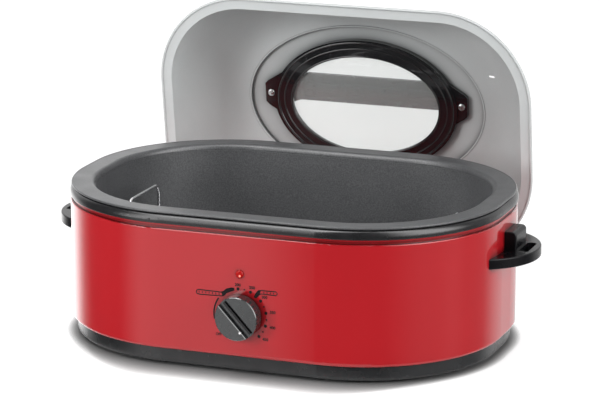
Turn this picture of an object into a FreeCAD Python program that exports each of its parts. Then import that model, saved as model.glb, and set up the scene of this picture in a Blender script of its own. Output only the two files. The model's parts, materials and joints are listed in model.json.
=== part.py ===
import FreeCAD, Part
import Sketcher
import math
import os
import re

# Countertop electric roaster oven: a painted steel body on a low base, a removable enamelled pan with
# a wire rack, a thermostat knob, and a lift-off domed lid with an oval window.
# Body frame: X to the right, Y to the rear, Z up, Z = 0 on the worktop.
# Lid frame: its flange lies on Z = 0 and the dome rises along +Z, as when the lid sits on the pan.

DIMENSIONS = {
    # plan outline of the rim and how far the other outlines stand in from it
    "rim_length": 520, "rim_depth": 370, "rim_corner": 167,
    "shell_inset": 1, "base_inset": 7, "pan_edge_inset": 3, "opening_inset": 30, "liner_inset": 21,
    "shield_inset": 35,
    # heights above the worktop
    "foot_height": 3, "shell_bottom": 20, "neck_low": 161, "shell_top": 166.5, "ring_top": 177.8,
    "rim_top": 180,
    "liner_floor": 40, "pan_floor": 52, "shield_height": 22,
    # sheets and walls, the gap at a snug fit, and how far a cutting tool starts outside its work
    "sheet": 1, "ring_wall": 5, "tray_wall": 2, "pan_wall": 1.2, "lid_sheet": 1.2, "fit_gap": 0.2,
    "tool_gap": 1,
    # turned and rounded edges of the casing, and the groove and hem at the top of the shell
    "shell_curl": 5, "shell_bead": 1.5, "neck_depth": 3, "hem_inset": 1, "hem_height": 2, "top_flange": 9,
    "bottom_flange": 16, "ring_round": 8, "hole_reach": 8,
    "ring_lip_round": 1.2, "liner_round": 18, "liner_flange": 15, "tray_round": 4, "tray_inner_round": 2.5,
    # roasting pan
    "pan_taper": 4, "pan_bottom_round": 24, "pan_shoulder": 6,
    # heater band and its fittings, insulation
    "band_height": 40, "band_low": 58, "band_thick": 2.5, "band_split": 12, "tie_overlap": 10,
    "tie_width": 6, "tie_inset": 6, "bead_x": 45, "bead_inset": 8, "bead_radius": 3, "bead_length": 6,
    "wool_clear": 7, "wool_thick": 8, "wool_low": 45, "wool_high": 158, "bay_width": 130,
    # control knob, thermostat and indicator
    "knob_x": 5.7, "knob_z": 69, "knob_radius": 25, "knob_depth": 15, "knob_gap": 1.2, "knob_bevel": 0.8,
    "groove_width": 11, "groove_depth": 4.5, "groove_angle": 43, "pointer_width": 2.4, "pointer_offset": 1.8,
    "pointer_sink": 1, "pointer_inset": 2, "shaft_radius": 3, "shaft_fit": 0.05, "shaft_seat": 7,
    "stat_width": 36, "stat_height": 32, "stat_depth": 11, "stat_corner": 3,
    "bracket_width": 58, "bracket_height": 60, "bracket_corner": 6, "bracket_sheet": 1.5,
    "lens_x": 5, "lens_z": 117, "lens_radius": 4.7, "lens_rise": 2.6, "lens_round": 2, "lens_stem": 5,
    "holder_wall": 1.5, "holder_depth": 14,
    # side handles: a half-moon grip with a finger slot, and a raised block that is screwed to the shell
    "grip_reach": 34, "grip_curve": 75, "grip_y": 10, "grip_low": 112.5, "grip_thick": 12, "grip_round": 1.5,
    "block_root": 30, "block_half_span": 21, "block_high": 146, "block_reach": 13, "block_round": 5,
    "block_edge_round": 2, "finger_inner": 15, "finger_width": 11, "finger_half_span": 22,
    "handle_bore": 8, "handle_screw_low": 129, "handle_screw_high": 141,
    # lid
    "lid_length": 478, "lid_depth": 316, "lid_corner": 114, "lid_flange": 14, "lid_height": 86,
    "panel_step": 4, "panel_border": 6, "panel_length": 310, "panel_depth": 206,
    "window_half_length": 98, "window_half_depth": 65, "frame_width": 22, "frame_thick": 8,
    "frame_lip": 2, "glass_thick": 2.8, "glass_lap": 6, "glass_play": 0.3, "gasket_thick": 1.2,
    "ear_reach": 133, "ear_bend": 4, "ear_half": 12, "ear_root": 100, "ear_root_half": 34, "ear_thick": 6,
    "lid_screw_x": 125.5, "lid_screw_y": -7, "vent_x": 165, "vent_y": -49.5, "vent_length": 8,
    "vent_width": 3,
    # lid handle
    "lid_handle_rise": 24, "lid_handle_width": 36, "lid_handle_thick": 9, "lid_handle_round": 5,
    "lid_foot": 14, "rib_half_pitch": 40, "rib_half": 3, "bay_inset": 4, "bay_roof": 3, "bay_end": 93,
    # where the lid is parked, in the rests behind the body
    "parked_x": -14, "parked_y": 237, "parked_z": 40, "parked_lean": 8,
    # lid rests
    "rest_x": 80, "rest_width": 20, "rest_sheet": 3, "rest_top": 92, "rest_slot": 6, "rest_inner_lip": 12,
    "rest_lip": 9, "rest_drop": 0.4, "rest_screw_low": 62, "rest_screw_high": 84,
    # base
    "foot_x": 150, "foot_y": 95, "foot_radius": 13, "stem_radius": 3.9, "barb_radius": 5.5,
    "barb_height": 1.5, "post_x": 110, "post_y": 70, "post_low_radius": 7, "post_high_radius": 3.8,
    # fasteners
    "screw_radius": 2, "screw_hole": 2.2, "screw_bore": 2.05, "head_radius": 4.5, "head_height": 2,
    "small_screw": 1.5, "small_bore": 1.6, "small_head": 3.6, "nut_radius": 4, "nut_height": 3,
    # cord gland and terminal block
    "gland_x": 40, "gland_z": 60, "gland_radius": 9, "gland_bore": 4, "gland_neck": 6.8,
    "gland_flange": 5, "gland_nut": 4, "block_length": 44, "block_depth": 20, "block_height": 12,
    "block_inset": 55, "block_pitch": 13, "well_radius": 3,
    # rack
    "rack_length": 392, "rack_depth": 242, "rack_corner": 100, "rack_height": 72, "wire": 4,
    "cross_wire": 3, "cross_count": 17, "cross_pitch": 22, "loop_half_span": 45, "loop_top": 150,
    "loop_bend": 12, "rack_clear": 0.3, "weld_gap": 0.03,
    # moves the body forward, so that the origin is under the middle of the whole footprint
    "body_shift": -68.75,
}

doc = FreeCAD.newDocument("roaster_oven")
sheet = doc.addObject("Spreadsheet::Sheet", "dims")
for row, (alias, number) in enumerate(DIMENSIONS.items(), start=1):
    sheet.set(f"A{row}", alias)
    sheet.set(f"B{row}", str(number))
    sheet.setAlias(f"B{row}", alias)
doc.recompute()

SUBPARTS = []
FUNCTIONS = ("sin", "cos", "tan", "sqrt")
UPRIGHT = FreeCAD.Rotation()
TO_REAR = FreeCAD.Rotation(FreeCAD.Vector(1, 0, 0), -90)
TO_FRONT = FreeCAD.Rotation(FreeCAD.Vector(1, 0, 0), 90)


# --- expressions and placement ---

def bind(expression):
    """Turn plain dimension names into references to the spreadsheet."""
    def reference(match):
        word = match.group(0)
        return word if word in FUNCTIONS else "dims." + word
    return re.sub(r"[a-z][a-z_]+", reference, expression)


def value(expression):
    """Work out an expression's number now."""
    result = sheet.evalExpression(bind(expression))
    return float(getattr(result, "Value", result))


def place(item, at, rotation=UPRIGHT):
    """Bind an object's position to expressions."""
    item.Placement = FreeCAD.Placement(FreeCAD.Vector(), rotation)
    for letter, expression in zip("xyz", at):
        item.setExpression(f"Placement.Base.{letter}", bind(expression))


def keep(item, label):
    """List a finished piece of the body, standing in the shared frame."""
    item.Label = label
    place(item, ("0", "body_shift", "0"), item.Placement.Rotation)
    SUBPARTS.append(item)
    return item


def keep_on_lid(item, label):
    """List a finished piece of the lid, modelled in the lid frame and parked behind the body."""
    item.Label = label
    turned_up = FreeCAD.Rotation(FreeCAD.Vector(1, 0, 0), value("parked_lean") - 90)
    middle_y = "body_shift + parked_y - lid_depth / 2 * sin(parked_lean)"
    middle_z = "parked_z + lid_depth / 2 * cos(parked_lean)"
    place(item, ("parked_x", middle_y, middle_z), turned_up)
    SUBPARTS.append(item)
    return item


# --- plan outlines: (length, depth, corner radius) ---

def inset(outline, amount):
    """The outline parallel to another one, standing in by an amount."""
    length, depth, radius = outline
    return (f"({length}) - 2 * ({amount})", f"({depth}) - 2 * ({amount})", f"({radius}) - ({amount})")


RIM = ("rim_length", "rim_depth", "rim_corner")
SHELL = inset(RIM, "shell_inset")
NECK = inset(SHELL, "neck_depth")
LINER = inset(RIM, "liner_inset")
PAN_OPENING = inset(RIM, "opening_inset")
BASE = inset(RIM, "base_inset")
LID_EDGE = ("lid_length", "lid_depth", "lid_corner")
LID_CROWN = inset(("panel_length", "panel_depth", "panel_depth / 2 - 0.5"), "-panel_border")


# --- sketches ---

def sketch_on(body, plane, offset="0"):
    """A new sketch on one of the body's own origin planes, moved along its normal."""
    sketch = body.newObject("Sketcher::SketchObject", body.Name + "_sketch")
    planes = [item for item in body.Origin.OriginFeatures if item.Role == plane]
    sketch.AttachmentSupport = (planes[0], [""])
    sketch.MapMode = "FlatFace"
    sketch.setExpression("AttachmentOffset.Base.z", bind(offset))
    return sketch


def constrain(sketch, kind, *arguments):
    """Add a constraint; a last argument that is text becomes its expression."""
    if isinstance(arguments[-1], str):
        expression = arguments[-1]
        index = sketch.addConstraint(Sketcher.Constraint(kind, *arguments[:-1], value(expression)))
        sketch.setExpression(f"Constraints[{index}]", bind(expression))
    else:
        sketch.addConstraint(Sketcher.Constraint(kind, *arguments))


def draw_rounded(sketch, outline, middle=("0", "0")):
    """Rounded rectangle from four lines and four arcs, anticlockwise from the lower side."""
    length, depth, radius = outline
    half_x = value(length) / 2
    half_y = value(depth) / 2
    corner = value(radius)
    mid_x, mid_y = (value(item) for item in middle)
    first = sketch.GeometryCount
    for quarter in range(4):
        direction = quarter * math.pi / 2
        along = FreeCAD.Vector(round(math.cos(direction)), round(math.sin(direction)), 0)
        across = FreeCAD.Vector(along.y, -along.x, 0)
        reach = abs(along.x) * (half_x - corner) + abs(along.y) * (half_y - corner)
        side = abs(across.x) * half_x + abs(across.y) * half_y
        centre = FreeCAD.Vector(mid_x, mid_y, 0)
        start = centre - along * reach + across * side
        end = centre + along * reach + across * side
        sketch.addGeometry(Part.LineSegment(start, end))
        hub = Part.Circle(end - across * corner, FreeCAD.Vector(0, 0, 1), corner)
        turn = direction - math.pi / 2
        sketch.addGeometry(Part.ArcOfCircle(hub, turn, turn + math.pi / 2))
    for step in range(8):
        constrain(sketch, "Tangent", first + step, 2, first + (step + 1) % 8, 1)
    for level in (0, 4):
        constrain(sketch, "Horizontal", first + level)
        constrain(sketch, "Vertical", first + level + 2)
    for arc in (1, 3, 5):
        constrain(sketch, "Equal", first + arc, first + arc + 2)
    constrain(sketch, "Radius", first + 1, radius)
    constrain(sketch, "DistanceX", first + 6, 1, first + 2, 1, length)
    constrain(sketch, "DistanceY", first, 1, first + 4, 1, depth)
    constrain(sketch, "DistanceX", -1, 1, first + 2, 1, f"({middle[0]}) + ({length}) / 2")
    constrain(sketch, "DistanceY", -1, 1, first + 4, 1, f"({middle[1]}) + ({depth}) / 2")


def draw_polygon(sketch, corners):
    """Closed polygon through corners given as pairs of expressions."""
    points = [FreeCAD.Vector(value(x), value(y), 0) for x, y in corners]
    first = sketch.GeometryCount
    count = len(corners)
    for index in range(count):
        sketch.addGeometry(Part.LineSegment(points[index], points[(index + 1) % count]))
    for index, (x, y) in enumerate(corners):
        constrain(sketch, "Coincident", first + index, 2, first + (index + 1) % count, 1)
        constrain(sketch, "DistanceX", -1, 1, first + index, 1, x)
        constrain(sketch, "DistanceY", -1, 1, first + index, 1, y)


def draw_circle(sketch, radius, middle=("0", "0")):
    """Circle about a point given as a pair of expressions."""
    centre = FreeCAD.Vector(value(middle[0]), value(middle[1]), 0)
    index = sketch.addGeometry(Part.Circle(centre, FreeCAD.Vector(0, 0, 1), value(radius)))
    constrain(sketch, "Radius", index, radius)
    constrain(sketch, "DistanceX", -1, 1, index, 3, middle[0])
    constrain(sketch, "DistanceY", -1, 1, index, 3, middle[1])


def draw_ellipse(sketch, half_x, half_y):
    """Ellipse about the origin with its long axis along X."""
    ellipse = Part.Ellipse(FreeCAD.Vector(), value(half_x), value(half_y))
    index = sketch.addGeometry(ellipse)
    sketch.exposeInternalGeometry(index)
    constrain(sketch, "Coincident", index, 3, -1, 1)
    constrain(sketch, "Horizontal", index + 1)
    constrain(sketch, "Distance", index + 1, f"2 * ({half_x})")
    constrain(sketch, "Distance", index + 2, f"2 * ({half_y})")


# --- features ---

def new_body(label):
    body = doc.addObject("PartDesign::Body", label)
    return body


def add_feature(body, kind, sketch, length="", reverse=False, through=False, taper=""):
    """Pad or Pocket of a sketch."""
    feature = body.newObject("PartDesign::" + kind, body.Name + "_" + kind.lower())
    feature.Profile = sketch
    feature.Reversed = reverse
    if through:
        feature.Type = "ThroughAll"
        feature.Midplane = True
    else:
        feature.setExpression("Length", bind(length))
    if taper:
        feature.setExpression("TaperAngle", bind(taper))
    return feature


def rounded_pad(body, outline, low, high, taper="", downward=False, middle=("0", "0")):
    """Add a rounded-rectangle block between two heights."""
    sketch = sketch_on(body, "XY_Plane", high if downward else low)
    draw_rounded(sketch, outline, middle)
    return add_feature(body, "Pad", sketch, f"({high}) - ({low})", reverse=downward, taper=taper)


def rounded_pocket(body, outline, high, low, taper="", middle=("0", "0")):
    """Cut a rounded-rectangle hollow from one height down to another."""
    sketch = sketch_on(body, "XY_Plane", high)
    draw_rounded(sketch, outline, middle)
    return add_feature(body, "Pocket", sketch, f"({high}) - ({low})", taper=taper)


def rounded_ring(body, outer, inner, low, high):
    """Add a frame between two rounded outlines."""
    sketch = sketch_on(body, "XY_Plane", low)
    draw_rounded(sketch, outer)
    draw_rounded(sketch, inner)
    return add_feature(body, "Pad", sketch, f"({high}) - ({low})")


def oval_pad(body, half_x, half_y, low, high):
    """Add an elliptical block between two heights."""
    sketch = sketch_on(body, "XY_Plane", low)
    draw_ellipse(sketch, half_x, half_y)
    return add_feature(body, "Pad", sketch, f"({high}) - ({low})")


def oval_pocket(body, half_x, half_y, high, low):
    """Cut an elliptical hollow from one height down to another."""
    sketch = sketch_on(body, "XY_Plane", high)
    draw_ellipse(sketch, half_x, half_y)
    return add_feature(body, "Pocket", sketch, f"({high}) - ({low})")


def round_edges(body, feature, radius, chosen, kind="Fillet"):
    """Fillet or chamfer the edges of the last feature that a test picks out."""
    doc.recompute()
    names = [f"Edge{number}" for number, edge in enumerate(feature.Shape.Edges, start=1) if chosen(edge)]
    if not names:
        raise ValueError(f"no edge to round on {body.Label}")
    dressing = body.newObject("PartDesign::" + kind, body.Name + "_" + kind.lower())
    dressing.Base = (feature, names)
    dressing.setExpression("Radius" if kind == "Fillet" else "Size", bind(radius))
    return dressing


def at_level(expression, within=RIM):
    """Test for edges that lie flat at one height, inside an outline."""
    level = value(expression)
    half_x = value(within[0]) / 2 + 1e-3
    half_y = value(within[1]) / 2 + 1e-3

    def chosen(edge):
        bounds = edge.BoundBox
        flat = abs(bounds.ZMin - level) < 1e-4 and abs(bounds.ZMax - level) < 1e-4
        inside_x = -half_x < bounds.XMin and bounds.XMax < half_x
        inside_y = -half_y < bounds.YMin and bounds.YMax < half_y
        return flat and inside_x and inside_y
    return chosen


def anywhere(expression):
    """Test for edges that lie flat at one height."""
    return at_level(expression, ("2000", "2000"))


def at_front(expression):
    """Test for edges that lie in one upright plane, a distance in front of the middle."""
    level = -value(expression)
    return lambda edge: abs(edge.BoundBox.YMin - level) < 1e-4 and abs(edge.BoundBox.YMax - level) < 1e-4


def drill(body, plane, radius, middles, from_offset, depth):
    """Cut round holes at several points, from an offset plane to a depth."""
    sketch = sketch_on(body, plane, from_offset)
    for middle in middles:
        draw_circle(sketch, radius, middle)
    return add_feature(body, "Pocket", sketch, depth)


# --- plain solids and groups ---

def cylinder(radius, height, at, rotation=UPRIGHT):
    item = doc.addObject("Part::Cylinder", "Cylinder")
    item.setExpression("Radius", bind(radius))
    item.setExpression("Height", bind(height))
    place(item, at, rotation)
    return item


def box(size, at):
    item = doc.addObject("Part::Box", "Box")
    for side, expression in zip(("Length", "Width", "Height"), size):
        item.setExpression(side, bind(expression))
    place(item, at)
    return item


def prism(corner_radius, height, at, rotation=UPRIGHT):
    """Hexagonal bar."""
    item = doc.addObject("Part::Prism", "Prism")
    item.Polygon = 6
    item.setExpression("Circumradius", bind(corner_radius))
    item.setExpression("Height", bind(height))
    place(item, at, rotation)
    return item


def fuse(*items):
    joined = doc.addObject("Part::MultiFuse", "Fusion")
    joined.Shapes = list(items)
    return joined


def cut(base, tool):
    remainder = doc.addObject("Part::Cut", "Cut")
    remainder.Base = base
    remainder.Tool = tool
    return remainder


def rounded_core(name, outline, low, high, bottom_round, taper="0"):
    """Block with rounded lower edges, the shape of the space inside a formed sheet part."""
    core = new_body(name)
    block = rounded_pad(core, outline, low, high, taper=taper, downward=True)
    round_edges(core, block, bottom_round, anywhere(low))
    return core


def group(items):
    """Separate solids that share one node."""
    together = doc.addObject("Part::Compound", "Group")
    together.Links = list(items)
    return together


def four_corners(x, y):
    """The four points at plus and minus x and y."""
    return [(f"{i} * ({x})", f"{j} * ({y})") for i in (-1, 1) for j in (-1, 1)]


# --- body: casing ---

def make_outer_shell():
    """Painted sheet wrap: curled in at the bottom, with a groove round it below a hem under the ring."""
    body = new_body("outer_shell_block")
    wall = rounded_pad(body, SHELL, "shell_bottom", "neck_low")
    curled = round_edges(body, wall, "shell_curl", at_level("shell_bottom"))
    round_edges(body, curled, "shell_bead", at_level("neck_low"))
    rounded_pad(body, NECK, "neck_low - 2 * sheet", "shell_top")
    rounded_pad(body, inset(SHELL, "hem_inset"), "shell_top - hem_height", "shell_top")
    rounded_pocket(body, inset(SHELL, "top_flange"), "shell_top + tool_gap", "shell_top - 2 * sheet")
    rounded_pocket(body, inset(SHELL, "shell_curl + bottom_flange"), "shell_bottom + 2 * sheet",
                   "shell_bottom - tool_gap")
    front = "rim_depth / 2 + tool_gap"
    rear = "-rim_depth / 2 - tool_gap + hole_reach"
    drill(body, "XZ_Plane", "shaft_radius + shell_bead", [("knob_x", "knob_z")], front, "hole_reach")
    drill(body, "XZ_Plane", LENS_HOLE, [("lens_x", "lens_z")], front, "hole_reach")
    drill(body, "XZ_Plane", "gland_neck + fit_gap", [("gland_x", "gland_z")], rear, "hole_reach")
    drill(body, "XZ_Plane", "screw_hole", REST_SCREWS, rear, "hole_reach")
    for end in ("rim_length / 2 + tool_gap", "-rim_length / 2 - tool_gap + hole_reach"):
        drill(body, "YZ_Plane", "screw_hole", HANDLE_SCREWS, end, "hole_reach")
    core = rounded_core("outer_shell_core", inset(SHELL, "sheet"), "shell_bottom + sheet",
                        "neck_low - sheet", "shell_curl - sheet")
    rounded_pad(core, inset(NECK, "sheet"), "neck_low - 2 * sheet", "shell_top - sheet")
    keep(cut(body, core), "outer_shell")


def make_rim_ring():
    """Moulded ring over the top of the shell; the pan's flange rests on it."""
    body = new_body("rim_ring")
    band = rounded_pad(body, RIM, "shell_top", "ring_top")
    rounded = round_edges(body, band, "ring_round", anywhere("ring_top"))
    round_edges(body, rounded, "ring_lip_round", anywhere("shell_top"))
    rounded_pocket(body, inset(RIM, "ring_wall"), "ring_top - ring_wall", "shell_top - tool_gap")
    rounded_pocket(body, inset(LINER, "-sheet - fit_gap"), "ring_top + tool_gap", "shell_top")
    keep(body, "rim_ring")


def make_well_liner():
    """Deep-drawn heating well that hangs from the ring."""
    body = new_body("well_liner_block")
    tub = rounded_pad(body, LINER, "liner_floor", "ring_top - ring_wall")
    round_edges(body, tub, "liner_round", at_level("liner_floor"))
    rounded_pad(body, inset(LINER, "-liner_flange"), "ring_top - ring_wall - sheet", "ring_top - ring_wall")
    core = rounded_core("well_liner_core", inset(LINER, "sheet"), "liner_floor + sheet", "rim_top",
                        "liner_round - sheet")
    keep(cut(body, core), "well_liner")


TRAY_FLOOR = "foot_height + tray_wall"


def make_base_tray():
    """Plastic base under the shell, with holes for the feet and the base screws."""
    body = new_body("base_tray")
    tray = rounded_pad(body, BASE, "foot_height", "shell_bottom")
    round_edges(body, tray, "tray_round", at_level("foot_height"))
    hollow = rounded_pocket(body, inset(BASE, "tray_wall"), "shell_bottom + tool_gap", TRAY_FLOOR)
    round_edges(body, hollow, "tray_inner_round", at_level(TRAY_FLOOR))
    for radius, middles in (("stem_radius + fit_gap / 2", four_corners("foot_x", "foot_y")),
                            ("screw_hole", four_corners("post_x", "post_y"))):
        drill(body, "XY_Plane", radius, middles, "shell_bottom", "shell_bottom")
    keep(body, "base_tray")


def make_heat_shield():
    """Reflector plate between the base and the liner, resting on the shoulders of the posts."""
    body = new_body("heat_shield")
    rounded_pad(body, inset(RIM, "shield_inset"), "shield_height", "shield_height + sheet")
    drill(body, "XY_Plane", "post_high_radius + fit_gap", four_corners("post_x", "post_y"),
          "shield_height + 2 * sheet", "3 * sheet")
    keep(body, "heat_shield")


def make_posts():
    """Stepped stand-offs between the base and the liner, with a tapped bore for each base screw."""
    posts = []
    screws = []
    for x, y in four_corners("post_x", "post_y"):
        lower = prism("post_low_radius", f"shield_height - ({TRAY_FLOOR})", (x, y, TRAY_FLOOR))
        upper = cylinder("post_high_radius", f"liner_floor - ({TRAY_FLOOR})", (x, y, TRAY_FLOOR))
        bore = cylinder("screw_bore", "shield_height", (x, y, f"{TRAY_FLOOR} - tool_gap"))
        posts.append(cut(fuse(lower, upper), bore))
        head = cylinder("head_radius", "head_height", (x, y, "foot_height - head_height"))
        shank = cylinder("screw_radius", "shield_height / 2", (x, y, "foot_height - head_height / 2"))
        screws.append(fuse(head, shank))
    keep(group(posts), "liner_posts")
    keep(group(screws), "base_screws")


def make_feet():
    """Rubber feet pressed through the base, each held by a barb."""
    feet = []
    for x, y in four_corners("foot_x", "foot_y"):
        pad = cylinder("foot_radius", "foot_height", (x, y, "0"))
        stem = cylinder("stem_radius", f"{TRAY_FLOOR} + barb_height / 2", (x, y, "0"))
        barb = cylinder("barb_radius", "barb_height", (x, y, TRAY_FLOOR))
        feet.append(fuse(pad, stem, barb))
    keep(group(feet), "rubber_feet")


# --- body: heating and control ---

def make_heater_band(side, label):
    """Half of the flat band heater that wraps the liner."""
    body = new_body(label)
    inner = inset(LINER, "-fit_gap")
    rounded_ring(body, inset(inner, "-band_thick"), inner, "band_low", "band_low + band_height")
    other = sketch_on(body, "XY_Plane", "band_low + band_height + tool_gap")
    near = f"{side} * band_split / 2"
    far = f"{-side} * rim_length"
    removed = [(near, "-rim_depth"), (far, "-rim_depth"), (far, "rim_depth"), (near, "rim_depth")]
    draw_polygon(other, removed)
    add_feature(body, "Pocket", other, "band_height + 2 * tool_gap")
    keep(body, label)


def make_band_fittings():
    """Tie plates over the two splits of the band, and the ceramic terminals beside the front one."""
    ties = []
    beads = []
    face = "rim_depth / 2 - liner_inset + band_thick + fit_gap"
    size = ("band_split + 2 * tie_overlap", "sheet", "tie_width")
    for level in ("band_low + tie_inset", "band_low + band_height - tie_inset - tie_width"):
        for front_face in (f"-({face}) - sheet", face):
            ties.append(box(size, ("-band_split / 2 - tie_overlap", front_face, level)))
    for side in (-1, 1):
        for level in ("band_low + bead_inset", "band_low + band_height - bead_inset"):
            at = (f"{side} * bead_x", f"-({face})", level)
            beads.append(cylinder("bead_radius", "bead_length", at, TO_FRONT))
    keep(group(ties), "band_ties")
    keep(group(beads), "band_terminals")


def make_insulation():
    """Glass wool around the band, open at the front for the control bay."""
    body = new_body("insulation_wrap")
    inner = inset(LINER, "-wool_clear")
    rounded_ring(body, inset(inner, "-wool_thick"), inner, "wool_low", "wool_high")
    bay = sketch_on(body, "XY_Plane", "wool_high + tool_gap")
    half = "bay_width / 2"
    draw_polygon(bay, [(f"-{half}", "-rim_depth"), (half, "-rim_depth"), (half, "0"), (f"-{half}", "0")])
    add_feature(body, "Pocket", bay, "wool_high - wool_low + 2 * tool_gap")
    keep(body, "insulation_wrap")


INNER_FRONT = "rim_depth / 2 - shell_inset - sheet"
LENS_HOLE = "lens_radius - 0.7"


def make_thermostat():
    """Thermostat on its bracket, flat against the inside of the front."""
    bracket = new_body("thermostat_bracket")
    sketch = sketch_on(bracket, "XZ_Plane", f"{INNER_FRONT} - bracket_sheet")
    draw_rounded(sketch, ("bracket_width", "bracket_height", "bracket_corner"), ("knob_x", "knob_z"))
    add_feature(bracket, "Pad", sketch, "bracket_sheet")
    drill(bracket, "XZ_Plane", "shaft_radius + tool_gap", [("knob_x", "knob_z")], INNER_FRONT,
          "2 * bracket_sheet")
    keep(bracket, "thermostat_bracket")
    body = new_body("thermostat")
    back = f"{INNER_FRONT} - bracket_sheet - stat_depth"
    case = sketch_on(body, "XZ_Plane", back)
    draw_rounded(case, ("stat_width", "stat_height", "stat_corner"), ("knob_x", "knob_z"))
    add_feature(body, "Pad", case, "stat_depth")
    drill(body, "XZ_Plane", "shaft_radius + shaft_fit", [("knob_x", "knob_z")], INNER_FRONT, "shaft_seat")
    keep(body, "thermostat")


def make_indicator():
    """Red jewel on the front with its lamp holder behind the sheet."""
    shell_face = "rim_depth / 2 - shell_inset"
    dome = new_body("indicator_lens")
    sketch = sketch_on(dome, "XZ_Plane", shell_face)
    draw_circle(sketch, "lens_radius", ("lens_x", "lens_z"))
    button = add_feature(dome, "Pad", sketch, "lens_rise")
    round_edges(dome, button, "lens_round", at_front(f"{shell_face} + lens_rise"))
    stem = sketch_on(dome, "XZ_Plane", f"{shell_face} - lens_stem")
    draw_circle(stem, f"{LENS_HOLE} - fit_gap / 2", ("lens_x", "lens_z"))
    add_feature(dome, "Pad", stem, "lens_stem + lens_rise / 2")
    keep(dome, "indicator_lens")
    holder = new_body("lamp_holder")
    tube = sketch_on(holder, "XZ_Plane", f"{INNER_FRONT} - holder_depth")
    draw_circle(tube, "lens_radius + holder_wall", ("lens_x", "lens_z"))
    add_feature(holder, "Pad", tube, "holder_depth")
    drill(holder, "XZ_Plane", LENS_HOLE, [("lens_x", "lens_z")], INNER_FRONT, "holder_depth - holder_wall")
    keep(holder, "lamp_holder")


def make_terminal_block():
    """Screw block on the base floor near the cord gland."""
    body = new_body("terminal_block")
    outline = ("block_length", "block_depth", "tray_wall")
    middle_y = "rim_depth / 2 - block_inset"
    top = f"{TRAY_FLOOR} + block_height"
    rounded_pad(body, outline, TRAY_FLOOR, top, middle=("gland_x", middle_y))
    wells = [(f"gland_x + {step} * block_pitch", middle_y) for step in (-1, 0, 1)]
    drill(body, "XY_Plane", "well_radius", wells, f"{top} + tool_gap", "block_height - 3 * tool_gap")
    keep(body, "terminal_block")


def make_cord_gland():
    """Moulded bushing through the rear of the shell, with the bore for the supply cord."""
    at = ("gland_x", f"{INNER_FRONT} - gland_nut", "gland_z")
    sleeve = cylinder("gland_neck", "gland_nut + gland_flange", at, TO_REAR)
    flange = cylinder("gland_radius", "gland_flange", ("gland_x", "rim_depth / 2 - shell_inset", "gland_z"),
                      TO_REAR)
    nut = prism("gland_radius + tool_gap", "gland_nut", at, TO_REAR)
    bore_end = f"{INNER_FRONT} - gland_radius"
    bore = cylinder("gland_bore", "3 * gland_radius", ("gland_x", bore_end, "gland_z"), TO_REAR)
    keep(cut(fuse(sleeve, flange, nut), bore), "cord_gland")


# --- knob ---

def make_knob():
    """Round knob with a groove across its face, a pointer rib standing in the groove, and its shaft."""
    back = "rim_depth / 2 - shell_inset + knob_gap"
    face = f"{back} + knob_depth"
    floor = f"{face} - groove_depth"
    centre = ("knob_x", "knob_z")
    knob = new_body("control_knob")
    disc = sketch_on(knob, "XZ_Plane", back)
    draw_circle(disc, "knob_radius", centre)
    add_feature(knob, "Pad", disc, "knob_depth")
    groove = sketch_on(knob, "XZ_Plane", face)
    draw_polygon(groove, across_knob("groove_width / 2", "knob_radius + tool_gap"))
    grooved = add_feature(knob, "Pocket", groove, "groove_depth")
    round_edges(knob, grooved, "knob_bevel", at_front(face), "Chamfer")
    drill(knob, "XZ_Plane", "shaft_radius + shaft_fit", [centre], f"{back} + shaft_seat + tool_gap",
          "knob_depth")
    keep(knob, "control_knob")
    pointer = new_body("knob_pointer")
    rib = sketch_on(pointer, "XZ_Plane", floor)
    draw_polygon(rib, across_knob("pointer_width / 2", "knob_radius - pointer_inset", "pointer_offset"))
    add_feature(pointer, "Pad", rib, "groove_depth - pointer_sink")
    keep(pointer, "knob_pointer")
    inner_end = f"{INNER_FRONT} - bracket_sheet - shaft_seat * 2 / 3"
    shaft = cylinder("shaft_radius", f"{back} + shaft_seat - ({inner_end})",
                     ("knob_x", f"-({inner_end})", "knob_z"), TO_FRONT)
    keep(group([shaft]), "thermostat_shaft")


def across_knob(half_width, half_length, offset="0"):
    """Corners of a bar across the knob, leaning from upright towards the left, moved sideways."""
    corners = []
    for across, along in ((-1, -1), (1, -1), (1, 1), (-1, 1)):
        sideways, lengthways = f"({offset} + {across} * ({half_width}))", f"{along} * ({half_length})"
        x = f"knob_x + {sideways} * cos(groove_angle) - {lengthways} * sin(groove_angle)"
        z = f"knob_z + {sideways} * sin(groove_angle) + {lengthways} * cos(groove_angle)"
        corners.append((x, z))
    return corners


# --- side handles ---

HANDLE_SCREWS = [("grip_y", "handle_screw_low"), ("grip_y", "handle_screw_high")]


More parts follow.
